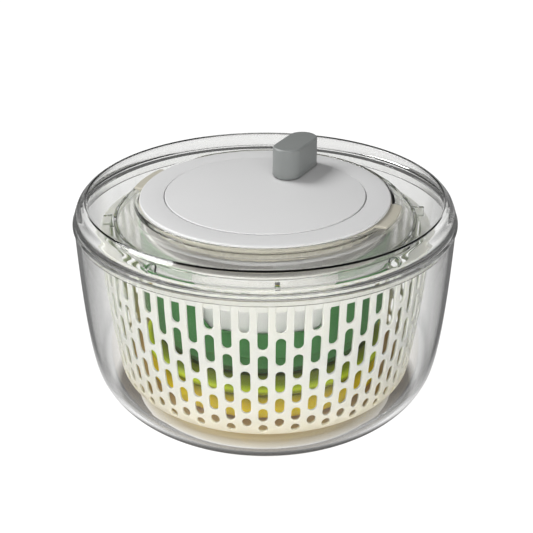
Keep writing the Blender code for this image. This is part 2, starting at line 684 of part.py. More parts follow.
def make_drive():
    """The clear disc that the sun gear turns, with tabs that drive the basket's rim."""
    web_low, web_high = DRIVE_WEB_Z
    band_low, band_high = DRIVE_BAND_Z
    inner, outer = DRIVE_BAND_R
    disc = turned("drive_disc", [
        (DRIVE_SHAFT_R + GAP, 129.6), (9.0, 129.6), (10.0, web_low), (inner, web_low),
        (inner, band_low), (outer, band_low), (outer, band_high), (inner, band_high),
        (inner, web_high), (10.0, web_high), (9.0, 135.2), (DRIVE_SHAFT_R + GAP, 135.2),
    ], clear_plastic("drive_clear"))
    for k in range(DRIVE_TABS):
        turn = radians(DRIVE_TAB_PHASE + 360 / DRIVE_TABS * k)
        tab = box(f"drive_tab_tool_{k + 1}", (outer - 1.2, -TAB_W / 2, BASKET_TOP_Z - 2.0),
                  (TAB_END_R, TAB_W / 2, band_high - 0.8), disc.data.materials[0], turn)
        combine(disc, tab, "UNION")
    turned("drive_bush", [
        (DRIVE_SHAFT_R + GAP, HOUSING_FLOOR_Z - 0.4), (6.1, HOUSING_FLOOR_Z - 0.4),
        (6.1, HOUSING_FLOOR_Z + 2.0 + GAP), (8.4, HOUSING_FLOOR_Z + 2.0 + GAP),
        (8.4, GEAR_Z[0] - GAP), (DRIVE_SHAFT_R + GAP, GEAR_Z[0] - GAP),
    ], acetal("drive_bush_acetal"), SMALL_STEPS)
    shaft_low = 129.9
    shaft = turned("drive_shaft", [
        (0.0, shaft_low), (DRIVE_SHAFT_R, shaft_low), (DRIVE_SHAFT_R, GEAR_Z[1] + 0.4),
        (DRIVE_SHAFT_R - 0.8, GEAR_Z[1] + 0.4), (DRIVE_SHAFT_R - 0.8, GEAR_Z[1] + 1.8),
        (DRIVE_SHAFT_R, GEAR_Z[1] + 1.8), (DRIVE_SHAFT_R - 0.6, 149.6), (0.0, 149.6),
    ], steel("drive_shaft_steel"), SMALL_STEPS)
    drill(shaft, "drive_shaft_drill", 1.9, shaft_low - 1.0, 141.0, (0.0, 0.0), 10)
    turned("shaft_clip", [
        (DRIVE_SHAFT_R - 0.8 + GAP, GEAR_Z[1] + 0.7), (7.0, GEAR_Z[1] + 0.7),
        (7.0, GEAR_Z[1] + 1.5), (DRIVE_SHAFT_R - 0.8 + GAP, GEAR_Z[1] + 1.5),
    ], steel("shaft_clip_steel"), SMALL_STEPS)
    screw("drive_screw", (0.0, 0.0), 1.6, 7.0, 129.3, 140.0)


def main():
    clear_scene()
    make_bowl()
    make_pivot()
    make_basket()
    make_inserts()
    make_lid()
    make_housing()
    make_cover()
    make_gears()
    make_dial()
    make_knob()
    make_drive()


main()
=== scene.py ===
"""Looks of the salad spinner: fine meshes, materials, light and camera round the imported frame.

Profiles are in millimetres, as (radius, height) or (radius, height, fillet), about the spin
axis. Driving sizes are read from the frame, and details are set off from those.
"""

import json
from math import atan2, cos, pi, radians, sin, tan

import bmesh
import bpy
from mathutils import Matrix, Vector


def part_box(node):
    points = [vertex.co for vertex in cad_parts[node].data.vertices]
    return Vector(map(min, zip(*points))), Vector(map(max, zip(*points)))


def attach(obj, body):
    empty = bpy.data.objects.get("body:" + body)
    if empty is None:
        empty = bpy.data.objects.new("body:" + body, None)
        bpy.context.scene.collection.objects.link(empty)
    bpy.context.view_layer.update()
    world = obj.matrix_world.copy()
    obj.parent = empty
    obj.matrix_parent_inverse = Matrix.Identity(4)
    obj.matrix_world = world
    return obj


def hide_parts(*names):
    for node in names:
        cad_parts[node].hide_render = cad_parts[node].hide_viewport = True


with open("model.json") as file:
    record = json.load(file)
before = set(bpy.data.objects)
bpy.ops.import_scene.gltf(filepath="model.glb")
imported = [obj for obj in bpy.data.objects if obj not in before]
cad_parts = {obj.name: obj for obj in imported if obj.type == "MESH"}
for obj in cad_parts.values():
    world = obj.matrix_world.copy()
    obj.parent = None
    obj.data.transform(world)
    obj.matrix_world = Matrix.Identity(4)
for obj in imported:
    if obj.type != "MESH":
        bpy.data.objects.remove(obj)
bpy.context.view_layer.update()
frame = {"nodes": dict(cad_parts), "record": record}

MM = 0.001
STEPS = 256                 # flats round the large shells
FILLET_STEPS = 6


def node_box(node):
    """A CAD node's lowest and highest corners in mm."""
    low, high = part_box(node)
    return low / MM, high / MM


# ---------------------------------------------------------------- outlines

def apart(angle, other):
    """How far apart two angles are, the short way round."""
    return abs((angle - other + pi) % (2 * pi) - pi)


def rotated(points, angle):
    """Flat points turned about the spin axis."""
    return [(x * cos(angle) - y * sin(angle), x * sin(angle) + y * cos(angle)) for x, y in points]


def fillet(points, closed=True, steps=FILLET_STEPS):
    """A polyline of (r, z) or (r, z, fillet) with its corners rounded to their fillets."""
    result = []
    count = len(points)
    for i, point in enumerate(points):
        here = Vector(point[:2])
        radius = point[2] if len(point) > 2 else 0.0
        if radius == 0.0 or (not closed and i in (0, count - 1)):
            result.append((here.x, here.y))
            continue
        back = Vector(points[i - 1][:2]) - here
        ahead = Vector(points[(i + 1) % count][:2]) - here
        half = back.angle(ahead) / 2
        reach = min(radius / tan(half), 0.49 * back.length, 0.49 * ahead.length)
        radius = reach * tan(half)
        centre = here + (back.normalized() + ahead.normalized()).normalized() * radius / sin(half)
        start = here + back.normalized() * reach - centre
        end = here + ahead.normalized() * reach - centre
        first = atan2(start.y, start.x)
        sweep = atan2(end.y, end.x) - first
        sweep = (sweep + pi) % (2 * pi) - pi
        for k in range(steps + 1):
            angle = first + sweep * k / steps
            result.append((centre.x + radius * cos(angle), centre.y + radius * sin(angle)))
    return result


def arc(centre, radius, first, last, count):
    """Points in (radius, height) along a round corner, from first to last in degrees."""
    angles = [radians(first + (last - first) * i / count) for i in range(count + 1)]
    return [(centre[0] + radius * cos(a), centre[1] + radius * sin(a)) for a in angles]


def bezier(start, control, end, count):
    """Points after start along a quadratic curve, end included."""
    points = []
    for i in range(1, count + 1):
        t = i / count
        points.append(tuple((1 - t) ** 2 * start[k] + 2 * t * (1 - t) * control[k]
                            + t * t * end[k] for k in (0, 1)))
    return points


def spline(points, count):
    """A smooth curve through the points, count steps between each two."""
    padded = [points[0], *points, points[-1]]
    result = [points[0]]
    for a, b, c, d in zip(padded, padded[1:], padded[2:], padded[3:]):
        for i in range(1, count + 1):
            t = i / count
            result.append(tuple(
                0.5 * (2 * b[k] + (c[k] - a[k]) * t + (2 * a[k] - 5 * b[k] + 4 * c[k] - d[k]) * t * t
                       + (3 * b[k] - a[k] - 3 * c[k] + d[k]) * t ** 3) for k in (0, 1)))
    return result


# ---------------------------------------------------------------- meshes

def finish_mesh(name, verts, faces, mat, sharp=35):
    """A closed mesh from points in mm, merged, facing out and shaded smooth."""
    mesh = bpy.data.meshes.new(name)
    mesh.from_pydata([Vector(v) * MM for v in verts], [], faces)
    bm = bmesh.new()
    bm.from_mesh(mesh)
    bmesh.ops.remove_doubles(bm, verts=bm.verts, dist=1e-6)
    bmesh.ops.recalc_face_normals(bm, faces=bm.faces)
    bm.to_mesh(mesh)
    bm.free()
    mesh.materials.append(mat)
    mesh.shade_smooth()
    mesh.set_sharp_from_angle(angle=radians(sharp))
    obj = bpy.data.objects.new(name, mesh)
    bpy.context.scene.collection.objects.link(obj)
    return obj


def turned(name, profile, mat, steps=STEPS, angles=None, shape=None):
    """A closed (radius, height) outline turned about Z.

    shape(radius, height, angle) may move a point, which cuts notches, flutes and lugs.
    """
    angles = angles or [2 * pi * i / steps for i in range(steps)]
    verts = []
    rows = []
    for radius, height in profile:
        if radius == 0.0:
            rows.append([len(verts)] * len(angles))
            verts.append((0.0, 0.0, height))
            continue
        rows.append(list(range(len(verts), len(verts) + len(angles))))
        for angle in angles:
            r, z = shape(radius, height, angle) if shape else (radius, height)
            verts.append((r * cos(angle), r * sin(angle), z))
    faces = []
    for row, after in zip(rows, rows[1:] + rows[:1]):
        for i in range(len(angles)):
            j = (i + 1) % len(angles)
            corners = [row[i], row[j], after[j], after[i]]
            face = [v for k, v in enumerate(corners) if v not in corners[:k]]
            if len(face) > 2:
                faces.append(face)
    return finish_mesh(name, verts, faces, mat)


def fill(loops):
    """Triangles between a loop and the holes in it, as indices into the joined loops."""
    bm = bmesh.new()
    edges = []
    for loop in loops:
        points = [bm.verts.new((x, y, 0.0)) for x, y in loop]
        edges += [bm.edges.new(pair) for pair in zip(points, points[1:] + points[:1])]
    bm.verts.index_update()
    bmesh.ops.triangle_fill(bm, use_beauty=True, edges=edges)
    triangles = [[v.index for v in face.verts] for face in bm.faces]
    bm.free()
    return triangles


def loft(faces, first, second):
    """Quads between two closed rows of the same length."""
    for k in range(len(first)):
        n = (k + 1) % len(first)
        faces.append([first[k], first[n], second[n], second[k]])


def stack(name, outlines, mat, sharp=35):
    """A solid lofted through flat outlines, each a (height, points) pair, and capped."""
    verts = []
    faces = []
    rows = []
    for height, points in outlines:
        rows.append(list(range(len(verts), len(verts) + len(points))))
        verts += [(x, y, height) for x, y in points]
    for first, second in zip(rows, rows[1:]):
        loft(faces, first, second)
    faces.append(rows[0])
    faces.append(rows[-1])
    return finish_mesh(name, verts, faces, mat, sharp)


def place(obj, body, slot, *nodes):
    """Ride on a body and stand for these CAD nodes; slot is not used."""
    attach(obj, body)
    if nodes:
        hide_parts(*nodes)


# ---------------------------------------------------------------- materials

def new_material(name):
    """A material with its node tree and its shader."""
    mat = bpy.data.materials.new(name)
    mat.use_nodes = True
    tree = mat.node_tree
    return mat, tree, tree.nodes["Principled BSDF"]


def add_node(tree, kind, **settings):
    """A new node; each setting is one of its inputs, or else one of its properties."""
    node = tree.nodes.new(kind)
    for key, value in settings.items():
        if key in node.inputs:
            node.inputs[key].default_value = value
        else:
            setattr(node, key, value)
    return node


def split_coords(tree, kind="Object"):
    """The texture coordinate of this kind, whole and as its X, Y and Z."""
    coords = add_node(tree, "ShaderNodeTexCoord")
    split = add_node(tree, "ShaderNodeSeparateXYZ")
    tree.links.new(coords.outputs[kind], split.inputs[0])
    return coords.outputs[kind], split.outputs


def map_range(tree, value, from_low, from_high, to_low=0.0, to_high=1.0, ease="LINEAR"):
    """Maps a value from one span onto another, and holds it at the ends."""
    node = add_node(tree, "ShaderNodeMapRange", interpolation_type=ease)
    for name, stop in (("From Min", from_low), ("From Max", from_high),
                       ("To Min", to_low), ("To Max", to_high)):
        node.inputs[name].default_value = stop
    tree.links.new(value, node.inputs["Value"])
    return node.outputs["Result"]


def maths(tree, operation, first, second=0.0):
    """The result of a maths node on two values, each a socket or a number."""
    node = add_node(tree, "ShaderNodeMath", operation=operation)
    for value, socket in zip((first, second), node.inputs):
        if isinstance(value, float):
            socket.default_value = value
        else:
            tree.links.new(value, socket)
    return node.outputs[0]


def noise(tree, scale, detail=3.0, stretch=(1.0, 1.0, 1.0)):
    """A noise in object space; stretch multiplies its frequency along each axis."""
    coords = add_node(tree, "ShaderNodeTexCoord")
    mapping = add_node(tree, "ShaderNodeMapping", Scale=stretch)
    texture = add_node(tree, "ShaderNodeTexNoise", Scale=scale, Detail=detail)
    tree.links.new(coords.outputs["Object"], mapping.inputs["Vector"])
    tree.links.new(mapping.outputs["Vector"], texture.inputs["Vector"])
    return texture.outputs["Fac"]


def spread(tree, value, low, high):
    """Maps a noise's usual range, 0.3 to 0.7, onto low to high."""
    return map_range(tree, value, 0.3, 0.7, low, high)


def varied_colour(tree, colour, factor, amount):
    """The colour with its brightness varied by a noise, by about amount to each side."""
    node = add_node(tree, "ShaderNodeMix", data_type="RGBA")
    for name, share in (("A", 1 - amount), ("B", 1 + amount)):
        socket = next(s for s in node.inputs if s.name == name and s.type == "RGBA")
        socket.default_value = (*[min(1.0, c * share) for c in colour], 1.0)
    tree.links.new(factor, node.inputs["Factor"])
    return next(s for s in node.outputs if s.type == "RGBA")


def bump(tree, shader, height, strength, distance):
    """Gives a shader a relief; distance is its depth in metres."""
    node = add_node(tree, "ShaderNodeBump", Strength=strength, Distance=distance)
    tree.links.new(height, node.inputs["Height"])
    tree.links.new(node.outputs["Normal"], shader.inputs["Normal"])


def set_ramp(node, stops):
    """Gives a colour ramp these positions and colours."""
    elements = node.color_ramp.elements
    while len(elements) < len(stops):
        elements.new(0.5)
    for element, (position, colour) in zip(elements, stops):
        element.position = position
        element.color = (*colour, 1.0)


def moulded_plastic(name, colour, roughness, subsurface=0.0, shine=0.5):
    """Moulded plastic: a fine spark-eroded grain, and slight changes of tone and gloss."""
    mat, tree, shader = new_material(name)
    tone = varied_colour(tree, colour, noise(tree, 22.0), 0.02)
    grain = noise(tree, 2600.0, 2.0)
    tree.links.new(tone, shader.inputs["Base Color"])
    tree.links.new(spread(tree, grain, roughness - 0.05, roughness + 0.05),
                   shader.inputs["Roughness"])
    shader.inputs["IOR"].default_value = 1.5
    shader.inputs["Specular IOR Level"].default_value = shine
    if subsurface:
        shader.inputs["Subsurface Weight"].default_value = subsurface
        shader.inputs["Subsurface Radius"].default_value = (0.004, 0.004, 0.0035)
        shader.inputs["Subsurface Scale"].default_value = 1.0
    bump(tree, shader, grain, 0.25, 0.00002)
    return mat


def paint_shading_by_height(mat, stops):
    """Multiplies the base colour by painted shade and painted highlights given at heights in mm,
    in bands round the piece, and by painted warm shade low in the bowl."""
    tree = mat.node_tree
    base = tree.nodes["Principled BSDF"].inputs["Base Color"]
    low, high = stops[0][0], stops[-1][0]
    share = map_range(tree, split_coords(tree)[1]["Z"], low * MM, high * MM)
    # The ramp paints shade and highlights into the base colour by height.
    painted_shading = add_node(tree, "ShaderNodeValToRGB")
    set_ramp(painted_shading, [((z - low) / (high - low), tone) for z, tone in stops])
    tree.links.new(share, painted_shading.inputs["Fac"])
    tint = add_node(tree, "ShaderNodeVectorMath", operation="MULTIPLY")
    tree.links.new(base.links[0].from_socket, tint.inputs[0])
    tree.links.new(painted_shading.outputs["Color"], tint.inputs[1])
    tree.links.new(tint.outputs["Vector"], base)
    return mat


def clear_plastic(name, tint, absorb=None, roughness=0.0, wave=0.00004, clearness=1.0):
    """Clear plastic: it lets light in, darkens with its depth, and flows slightly unevenly."""
    mat, tree, shader = new_material(name)
    shader.inputs["Base Color"].default_value = (*tint, 1.0)
    shader.inputs["Roughness"].default_value = roughness
    shader.inputs["IOR"].default_value = 1.46
    shader.inputs["Transmission Weight"].default_value = clearness
    bump(tree, shader, noise(tree, 16.0, 1.0, (1.0, 1.0, 0.4)), 0.5, wave)
    path = add_node(tree, "ShaderNodeLightPath")
    open_air = add_node(tree, "ShaderNodeBsdfTransparent", Color=(*[t ** 0.5 for t in tint], 1.0))
    surface = shader.outputs[0]
    for ray in ("Is Diffuse Ray", "Is Shadow Ray"):
        choice = add_node(tree, "ShaderNodeMixShader")
        tree.links.new(path.outputs[ray], choice.inputs[0])
        tree.links.new(surface, choice.inputs[1])
        tree.links.new(open_air.outputs[0], choice.inputs[2])
        surface = choice.outputs[0]
    output = tree.nodes["Material Output"]
    tree.links.new(surface, output.inputs["Surface"])
    if absorb:
        depth = add_node(tree, "ShaderNodeVolumeAbsorption", Color=(*absorb, 1.0), Density=9.0)
        tree.links.new(depth.outputs[0], output.inputs["Volume"])
    return mat


def turned_steel(name):
    """Bright steel with turning marks round its axis."""
    mat, tree, shader = new_material(name)
    shader.inputs["Metallic"].default_value = 1.0
    marks = noise(tree, 900.0, 2.0, (0.05, 0.05, 1.0))
    tree.links.new(varied_colour(tree, (0.62, 0.62, 0.61), marks, 0.06), shader.inputs["Base Color"])
    tree.links.new(spread(tree, marks, 0.22, 0.38), shader.inputs["Roughness"])
    bump(tree, shader, marks, 0.2, 0.00001)
    return mat


# ---------------------------------------------------------------- bowl

def make_bowl(mat):
    """The clear bowl: a foot ring, a deep round corner, and a wall that leans out."""
    high = node_box("bowl")[1]
    rim_r, rim_z = high.x, high.z
    wall = 2.6
    floor_low, floor_high, ring_in, ring_out = 2.0, 4.6, 79.4, 85.2
    corner = (ring_out, 42.5)
    corner_end = -10.0      # where the round corner ends, in degrees
    lean = (rim_r - 1.5, 61.0)
    edge_z = rim_z - 1.0
    foot = [(0.0, floor_low)]
    foot += fillet([(70.0, floor_low), (ring_in, floor_low, 1.5), (ring_in + 2.2, 0.0, 1.2),
                    (ring_out, 0.0)], closed=False)[1:-1]
    outside = arc(corner, corner[1], -90, corner_end, 40)
    outside += bezier(outside[-1], lean, (rim_r, edge_z), 30)
    inside = arc(corner, corner[1] - wall, -90, corner_end, 36)
    inside += bezier(inside[-1], (lean[0] - wall, lean[1]), (rim_r - wall, edge_z), 30)
    rim = fillet([(rim_r, edge_z), (rim_r, rim_z, 0.9), (rim_r - wall, rim_z, 0.9),
                  (rim_r - wall, edge_z)], closed=False)[1:-1]
    boss = fillet([(0.0, 3.5), (2.8, 3.5), (2.8, 6.9, 0.4), (5.4, 6.9, 0.6),
                   (6.4, floor_high, 1.0), (40.0, floor_high)], closed=False)
    profile = foot + outside + rim + list(reversed(inside)) + [(76.0, floor_high)]
    profile += list(reversed(boss[:-1]))
    place(turned("bowl_body", profile, mat), "bowl", "bowl_clear", "bowl")


# ---------------------------------------------------------------- basket

COLUMNS = 64
COLUMN_PHASE = -0.0125      # how far the whole basket is turned from the nearest symmetry
TAB_ANGLES = [radians(-86.0 + 45.0 * k) for k in range(8)]      # the drive disc's tabs
SLOT_W = 6.7
BASKET_REF_R = 117.2        # radius where widths across the columns are measured
BASKET_WALL = 1.9
CORNER_Z = 31.6
CORNER_R = 12.0
SHEET_Z = (25.6, 129.2)     # span of the slotted wall; below it the corner has no slots
GROOVE_TOP_Z = 128.4
GROOVE_DEPTH = 0.5
EDGE = 0.3                  # chamfer round each slot
FIRST_ROW_TOP_Z = 121.9
SLOTS = (                   # (foot, head) of each slot from the top down, in even and odd columns
    ((94.1, FIRST_ROW_TOP_Z), (70.5, 90.3), (50.6, 66.5), (35.7, 47.1), (26.2, 32.0)),
    ((106.8, FIRST_ROW_TOP_Z), (81.7, 103.1), (59.9, 77.7), (42.6, 55.7), (31.2, 38.4)),
)


def basket_radius(height):
    """The basket's outer radius: it narrows slowly, and faster towards its base."""
    taper_z, taper_drop, taper_in = 124.0, 95.0, 8.9
    drop = max(0.0, (taper_z - height) / taper_drop)
    return BASKET_REF_R - taper_in * drop ** 1.6


def wall_point(height, depth):
    """(radius, height) of a point in the basket's wall, depth inwards from its outside."""
    if height >= CORNER_Z:
        return basket_radius(height) - depth, height
    reach = CORNER_R - depth
    turn = (CORNER_Z - height) / CORNER_R
    return (basket_radius(CORNER_Z) - CORNER_R + reach * (1 - turn * turn) ** 0.5,
            CORNER_Z - reach * turn)


def levels(low, high, pitch=5.0):
    """Even steps from low to high, about pitch apart."""
    count = max(1, round((high - low) / pitch))
    return [low + (high - low) * i / count for i in range(count + 1)]


def slot_loop(side, flat, grow=0.0):
    """A slot's outline from the heights of its side points: a round foot, and a flat or
    round head."""
    half = SLOT_W / 2 + grow
    turns = [pi * i / 8 for i in range(1, 8)]
    head = [] if flat else [(half * cos(a), side[-1] + half * sin(a)) for a in turns]
    foot = [(-half * cos(a), side[0] - half * sin(a)) for a in turns]
    crown = side[-1] + (grow if flat else 0.0)
    sides = [*side[:-1], crown]
    return ([(half, z) for z in sides] + head + [(-half, z) for z in reversed(sides)] + foot)


def column_template(slots):
    """One column of the basket's wall as points (across, height, depth) and faces."""
    points = []
    faces = []

    def row(loop, depth):
        points.extend((x, z, depth) for x, z in loop)
        return list(range(len(points) - len(loop), len(points)))

    half = pi * BASKET_REF_R / COLUMNS
    across = [half * k / 2 for k in (-2, -1, 0, 1, 2)]
    rise = levels(*SHEET_Z)
    border = [(x, rise[0]) for x in across] + [(half, z) for z in rise[1:-1]]
    border += [(x, rise[-1]) for x in reversed(across)] + [(-half, z) for z in rise[-2:0:-1]]
    outer_loops = [border]
    inner_loops = [border]
    for k, (low, high) in enumerate(slots):
        flat = k == 0
        side = levels(low + SLOT_W / 2, high if flat else max(high - SLOT_W / 2, low + SLOT_W / 2 + 0.1))
        outer = [*side, GROOVE_TOP_Z] if flat else side
        outer_loops.append(slot_loop(outer, flat, EDGE))
        inner_loops.append(slot_loop(side, flat, EDGE))
        rows = [row(outer_loops[-1], 0.0), row(slot_loop(outer, flat), EDGE)]
        if flat:
            rows.append(row(slot_loop(outer, flat), GROOVE_DEPTH))
            crown = len(side) - 1
            faces.append(rows[-1][crown:crown + 4])     # the groove's floor, above the slot
        for first, second in zip(rows, rows[1:]):
            loft(faces, first, second)
        inside = [row(slot_loop(side, flat), GROOVE_DEPTH if flat else EDGE),
                  row(slot_loop(side, flat), BASKET_WALL - EDGE), row(inner_loops[-1], BASKET_WALL)]
        for first, second in zip(inside, inside[1:]):
            loft(faces, first, second)
    for loops, depth in ((outer_loops, 0.0), (inner_loops, BASKET_WALL)):
        start = len(points)
        for loop in loops:
            row(loop, depth)
        faces += [[start + i for i in triangle] for triangle in fill(loops)]
    return points, faces


def ring_loop(radius, count=4 * COLUMNS):
    """A circle about the spin axis, in step with the columns."""
    angles = [2 * pi * i / count + COLUMN_PHASE for i in range(count)]
    return [(radius * cos(a), radius * sin(a)) for a in angles]


def radial_slot(inner, outer, half, angle, steps=8):
    """A round-ended slot that lies along a radius."""
    loop = []
    for centre, first in ((outer - half, -pi / 2), (inner + half, pi / 2)):
        for i in range(steps + 1):
            a = first + pi * i / steps
            loop.append((centre + half * cos(a), half * sin(a)))
    return rotated(loop, angle)


def notched_ring(radius, notch_r, half_w, centres):
    """A circle with a square notch cut outwards at each centre angle."""
    half = half_w / radius
    spare = 0.003           # no point of the circle comes closer than this to a notch
    points = []
    for k in range(4 * COLUMNS):
        angle = 2 * pi * k / (4 * COLUMNS) + COLUMN_PHASE
        if min(apart(angle, c) for c in centres) > half + spare:
            points.append((angle, 0, radius))
    for c in centres:
        c %= 2 * pi
        points += [(c - half, 0, radius), (c - half, 1, notch_r),
                   (c + half, 0, notch_r), (c + half, 1, radius)]
    points.sort()
    return [(r * cos(a), r * sin(a)) for a, _, r in points]


def make_basket(mat):
    """The basket: 64 columns of staggered slots, a notched rim flange, and a slotted floor."""
    low, high = node_box("basket")
    verts = []
    faces = []
    for parity in (0, 1):
        points, template = column_template(SLOTS[parity])
        placed = [wall_point(z, depth) for _, z, depth in points]
        for column in range(parity, COLUMNS, 2):
            start = len(verts)
            for (x, _, _), (radius, z) in zip(points, placed):
                angle = 2 * pi * column / COLUMNS + COLUMN_PHASE + x / BASKET_REF_R
                verts.append((radius * cos(angle), radius * sin(angle), z))
            faces += [[start + i for i in face] for face in template]

    def row(loop, z):
        verts.extend((x, y, z) for x, y in loop)
        return list(range(len(verts) - len(loop), len(verts)))

    def rows(profile, count=4 * COLUMNS):
        made = [row(ring_loop(radius, count), z) for radius, z in profile]
        for first, second in zip(made, made[1:]):
            loft(faces, first, second)

    def sheet(loops, z):
        start = len(verts)
        for loop in loops:
            row(loop, z)
        faces.extend([start + i for i in triangle] for triangle in fill(loops))

    top_z = high.z
    flange_z = SHEET_Z[1]
    rim_in_r, flange_in_r, notch_r, notch_half_w = 115.6, 110.5, 115.0, 2.2
    inner = notched_ring(flange_in_r, notch_r, notch_half_w, TAB_ANGLES)
    rim = fillet([(BASKET_REF_R, flange_z), (BASKET_REF_R, top_z, 1.2), (rim_in_r, top_z)],
                 closed=False)
    rows(rim)
    sheet([ring_loop(rim[-1][0]), inner], top_z)
    loft(faces, row(inner, top_z), row(inner, flange_z))
    sheet([ring_loop(BASKET_REF_R - BASKET_WALL), inner], flange_z)

    floor_r = basket_radius(CORNER_Z) - CORNER_R
    floor_z = CORNER_Z - CORNER_R
    turn = (CORNER_Z - SHEET_Z[0]) / CORNER_R
    bends = [turn + (1.0 - turn) * i / 8 for i in range(9)]
    for depth in (0.0, BASKET_WALL):
        reach = CORNER_R - depth
        rows([(floor_r + reach * (1 - t * t) ** 0.5, CORNER_Z - reach * t) for t in bends])
    count, slot_in_r, slot_out_r = 12, 34.0, 82.0
    slots = [radial_slot(slot_in_r, slot_out_r, SLOT_W / 2, 2 * pi * (k + 0.5) / count)
             for k in range(count)]
    hub_r, socket_r, hub_z, hub_steps = 8.6, 6.4, low.z, 64
    sheet([ring_loop(floor_r), ring_loop(hub_r, hub_steps), *slots], floor_z)
    sheet([ring_loop(floor_r), *slots], floor_z + BASKET_WALL)
    for slot in slots:
        loft(faces, row(slot, floor_z), row(slot, floor_z + BASKET_WALL))
    rows([(hub_r, floor_z), (hub_r, hub_z), (socket_r, hub_z), (socket_r, floor_z)], hub_steps)
    faces.append(row(ring_loop(socket_r, hub_steps), floor_z))
    basket = finish_mesh("basket_shell", verts, faces, mat, 40)
    place(basket, "basket", "basket_white", "basket")


# ---------------------------------------------------------------- prep inserts

def make_tray(name, node, profile, mat, slot):
    """A shallow tray that bulges below its rim; profile is its outside, from the base up."""
    wall = 2.0
    base_r = profile[0][0]
    base_z = node_box(node)[0].z
    outside = spline([(r, base_z + z) for r, z in profile], 8)
    inside = [(r - wall, max(z, base_z + wall)) for r, z in reversed(outside)]
    shape = [(0.0, base_z), (base_r - 3.0, base_z)] + outside
    shape += inside + [(base_r - 5.0, base_z + wall), (0.0, base_z + wall)]
    place(turned(name, shape, mat), node, slot, node)


def make_cup(mat):
    """The grey cup: straight sides that lean out slightly, and a round bottom corner."""
    low, high = node_box("grey_cup")
    cup_r, wall = high.x, 2.0
    shape = fillet([(0.0, low.z), (cup_r - 0.8, low.z, 5.0), (cup_r - 0.2, high.z, 0.7),
                    (cup_r - 0.2 - wall, high.z, 0.7), (cup_r - 0.8 - wall, low.z + wall, 3.2),
                    (0.0, low.z + wall)], closed=False)
    place(turned("grey_cup_shell", shape, mat), "grey_cup", "light_grey_plastic", "grey_cup")


def make_inserts(mats):
    """The nested prep inserts, from the lowest up."""
    make_tray("yellow_tray_shell", "yellow_tray",
              [(85.0, 0.0), (87.6, 2.0), (88.3, 4.6), (87.4, 8.6), (84.8, 12.6), (83.4, 15.6)],
              mats["yellow"], "yellow_plastic")
    make_tray("lime_tray_shell", "lime_tray",
              [(82.0, 0.0), (85.6, 2.4), (89.2, 6.0), (88.4, 7.6), (84.5, 10.4), (81.5, 12.8), (80.6, 15.2)],
              mats["lime"], "lime_plastic")
    make_green_bowl(mats["green"])
    make_cup(mats["light_grey"])


def notch_height(across):
    """The height of the green bowl's rim in its notch, at a distance across the front."""
    floor_z, rim_z, flat_half_w, rise_w = 90.0, 130.0, 33.0, 14.0
    share = min(1.0, max(0.0, (abs(across) - flat_half_w) / rise_w))
    return floor_z + (rim_z - floor_z) * (1.0 - (1.0 - share ** 2) ** 0.5)


def make_green_bowl(mat):
    """The green bowl: a foot, a step out to the basket's width, and a notch at the front."""
    low, high = node_box("green_bowl")
    rim_r, rim_z = high.x, high.z
    step_z, foot_r, wall, lean = 70.8, 80.0, 2.0, 0.8
    foot_z = low.z
    profile = fillet([
        (0.0, foot_z), (foot_r, foot_z, 3.0), (foot_r, step_z - 0.6, 1.5),
        (rim_r - lean, step_z, 2.2), (rim_r, rim_z, 0.7), (rim_r - wall, rim_z, 0.7),
        (rim_r - wall - lean, step_z + wall, 1.2), (foot_r - wall, step_z + wall - 0.8, 1.5),
        (foot_r - wall, foot_z + wall, 2.0), (0.0, foot_z + wall),
    ], closed=False)
    rise = [(rim_r - lean * (rim_z - z) / (rim_z - step_z), z) for z in levels(92.0, 126.0, 4.0)]
    fall = [(r - wall, z) for r, z in reversed(rise)]
    split = next(i for i, (_, z) in enumerate(profile) if z > rise[-1][1])
    after = next(i for i, (_, z) in enumerate(profile) if i > split and z < rise[0][1])
    profile = profile[:split] + rise + profile[split:after] + fall + profile[after:]
    cut_z = 89.0            # nothing below this moves for the notch

    def shape(radius, height, angle):
        if height < cut_z or sin(angle) > 0.0:
            return radius, height
        lip = notch_height(radius * cos(angle))
        return radius, min(height, lip + 0.6 * (height - cut_z) / (rim_z - cut_z))

    coarse = 2 * pi / 180
    notch_side, notch_reach = 40.0, 9.0     # where the steps are eight times finer
    angles = []
    angle = -pi
    while angle < pi - 0.2 * coarse:
        angles.append(angle)
        near = abs(abs(rim_r * cos(angle)) - notch_side) < notch_reach and sin(angle) < 0.0
        angle += coarse / (8 if near else 1)
    bowl = turned("green_bowl_shell", profile, mat, angles=angles, shape=shape)
    place(bowl, "green_bowl", "green_plastic", "green_bowl")


# ---------------------------------------------------------------- lid

LUG_ANGLES = (radians(-22.0), radians(158.0))
LUG_HALF = radians(13.0)


def off_lug(angle):
    """How far an angle is from the nearest lug's middle."""
    return min(apart(angle, lug) for lug in LUG_ANGLES)


